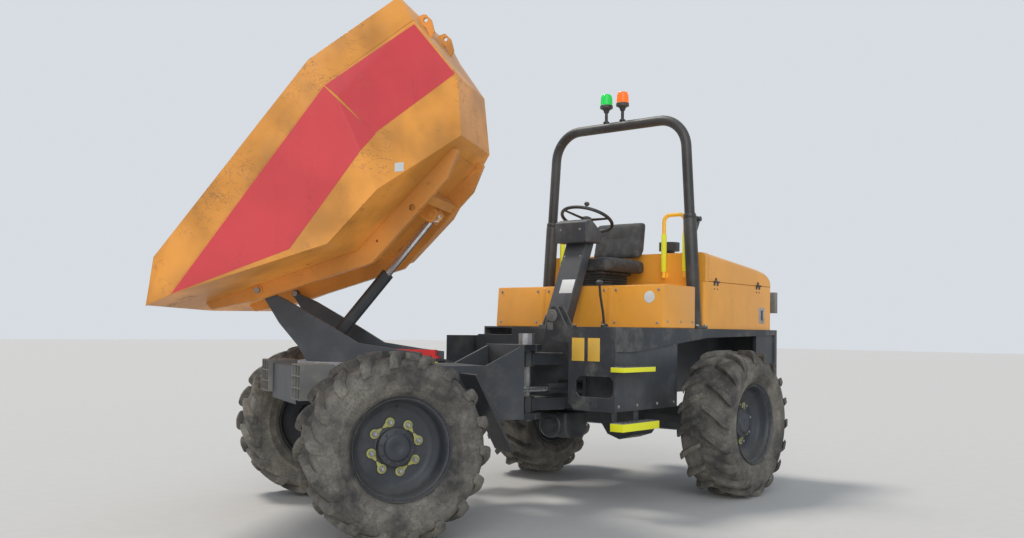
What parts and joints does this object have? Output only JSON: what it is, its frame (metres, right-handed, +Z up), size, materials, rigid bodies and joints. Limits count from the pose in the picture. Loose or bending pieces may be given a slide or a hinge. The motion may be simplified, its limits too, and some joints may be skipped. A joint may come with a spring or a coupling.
{
  "type": "site dumper",
  "caption": "Articulated site dumper on rubber tyres with a rotating high-tip skip, open operator seat, folding roll hoop and rear engine cover, shown steered and tipped.",
  "frame": {"origin": "centre of the whole machine's box on the ground, as it stands", "axes": "+X forward along the rear unit, +Y to its left, +Z up"},
  "size_m": [4.6762, 2.8408, 3.0831],
  "materials": {
    "skip_paint": "worn satin orange paint",
    "hood_paint": "satin yellow-orange paint",
    "frame_paint": "dusty satin dark grey paint",
    "rops_paint": "scuffed black paint",
    "rail_paint": "satin yellow paint",
    "prop_paint": "satin red paint",
    "bare_steel": "bare steel",
    "chrome": "hard chrome",
    "engine": "dark cast block",
    "tyre": "dusty rubber",
    "rim_paint": "dusty dark paint",
    "seat": "black seat skin",
    "plastic": "black plastic",
    "panel_plastic": "dark grey moulding",
    "beacon": "clear coloured plastic"
  },
  "bodies": {
    "rear": {"rear_axle": "frame_paint", "rear_frame": "frame_paint", "deck": "frame_paint", "wheel_arches": "frame_paint", "tail_plate": "frame_paint", "hydraulic_tank": "frame_paint", "fuel_tank": "frame_paint", "steps": "frame_paint", "seat_plinth": "hood_paint", "hood_lower": "hood_paint", "hood_front": "hood_paint", "engine_block": "engine", "seat_base": "plastic", "seat_cushion": "seat", "seat_back": "seat", "console": "frame_paint", "instrument_panel": "panel_plastic", "steering_wheel": "plastic", "roll_posts": "rops_paint", "hand_rails": "rail_paint", "rear_lamps": "frame_paint"},
    "front": {"front_axle": "frame_paint", "front_frame": "frame_paint", "pivot_pin": "bare_steel", "front_mudguards": "frame_paint", "front_lamps": "frame_paint", "slew_ring": "bare_steel"},
    "swivel": {"swan_neck": "frame_paint", "safety_prop": "prop_paint"},
    "skip": {"skip_shell": "skip_paint", "skip_underframe": "skip_paint", "lifting_eyes": "skip_paint", "hinge_pins": "bare_steel"},
    "tip_barrel": {"tip_barrel": "frame_paint"},
    "tip_rod": {"tip_rod": "chrome"},
    "steer_barrel": {"steer_barrel": "frame_paint"},
    "steer_rod": {"steer_rod": "chrome"},
    "roll_hoop": {"roll_hoop": "rops_paint", "beacons": "beacon"},
    "hood_lid": {"hood_lid": "hood_paint", "air_cleaner_cap": "plastic"},
    "wheel_front_left": {"tyre_front_left": "tyre", "rim_front_left": "rim_paint"},
    "wheel_front_right": {"tyre_front_right": "tyre", "rim_front_right": "rim_paint"},
    "wheel_rear_left": {"tyre_rear_left": "tyre", "rim_rear_left": "rim_paint"},
    "wheel_rear_right": {"tyre_rear_right": "tyre", "rim_rear_right": "rim_paint"}
  },
  "joints": [
    {"name": "articulation", "type": "hinge", "parent": "rear", "child": "front", "pos_m": [0.09188, 0.32443, 0.82186], "axis": [0, 0, 1], "range_deg": [-7.3, 58.7]},
    {"name": "skip_swivel", "type": "hinge", "parent": "front", "child": "swivel", "pos_m": [1.20922, -0.21331, 0.93986], "axis": [0, 0, 1], "range_deg": [-52, 128]},
    {"name": "skip_tip", "type": "hinge", "parent": "swivel", "child": "skip", "pos_m": [1.42411, -0.64811, 1.39486], "axis": [0.8965, 0.4431, 0], "range_deg": [-46, 16]},
    {"name": "tip_barrel_pivot", "type": "hinge", "parent": "swivel", "child": "tip_barrel", "pos_m": [1.28277, -0.36213, 1.02586], "axis": [0.8965, 0.4431, 0], "range_deg": [-49.5, 17.5]},
    {"name": "tip_rod_slide", "type": "slide", "parent": "tip_barrel", "child": "tip_rod", "axis": [-0.2852, 0.5771, 0.7652], "range_m": [-0.366, 0.128]},
    {"name": "steer_barrel_pivot", "type": "hinge", "parent": "rear", "child": "steer_barrel", "pos_m": [-0.38812, 0.51443, 0.77486], "axis": [0, 0, 1], "range_deg": [-3, 21]},
    {"name": "steer_rod_slide", "type": "slide", "parent": "steer_barrel", "child": "steer_rod", "axis": [0.9807, -0.1955, 0], "range_m": [-0.19, 0.03]},
    {"name": "rops_fold", "type": "hinge", "parent": "rear", "child": "roll_hoop", "pos_m": [-1.09612, 0.32443, 2.00986], "axis": [0, 1, 0], "range_deg": [-90, 0]},
    {"name": "hood_open", "type": "hinge", "parent": "rear", "child": "hood_lid", "pos_m": [-1.09812, 1.05343, 1.54986], "axis": [-1, 0, 0], "range_deg": [0, 50]},
    {"name": "front_left_wheel_spin", "type": "hinge", "parent": "front", "child": "wheel_front_left", "pos_m": [1.59597, 0.59492, 0.52486], "axis": [0.4337, 0.9011, 0], "continuous": true},
    {"name": "front_right_wheel_spin", "type": "hinge", "parent": "front", "child": "wheel_front_right", "pos_m": [0.81886, -1.01981, 0.52486], "axis": [0.4337, 0.9011, 0], "continuous": true},
    {"name": "rear_left_wheel_spin", "type": "hinge", "parent": "rear", "child": "wheel_rear_left", "pos_m": [-1.21912, 1.22043, 0.52486], "axis": [0, 1, 0], "continuous": true},
    {"name": "rear_right_wheel_spin", "type": "hinge", "parent": "rear", "child": "wheel_rear_right", "pos_m": [-1.21912, -0.57157, 0.52486], "axis": [0, 1, 0], "continuous": true}
  ],
  "couplings": [
    {"joint": "tip_barrel_pivot", "follows": "skip_tip", "ratio": 1.06},
    {"joint": "tip_rod_slide", "follows": "skip_tip", "m_per_rad": 0.4537},
    {"joint": "steer_barrel_pivot", "follows": "articulation", "ratio": 0.345},
    {"joint": "steer_rod_slide", "follows": "articulation", "m_per_rad": -0.182}
  ]
}
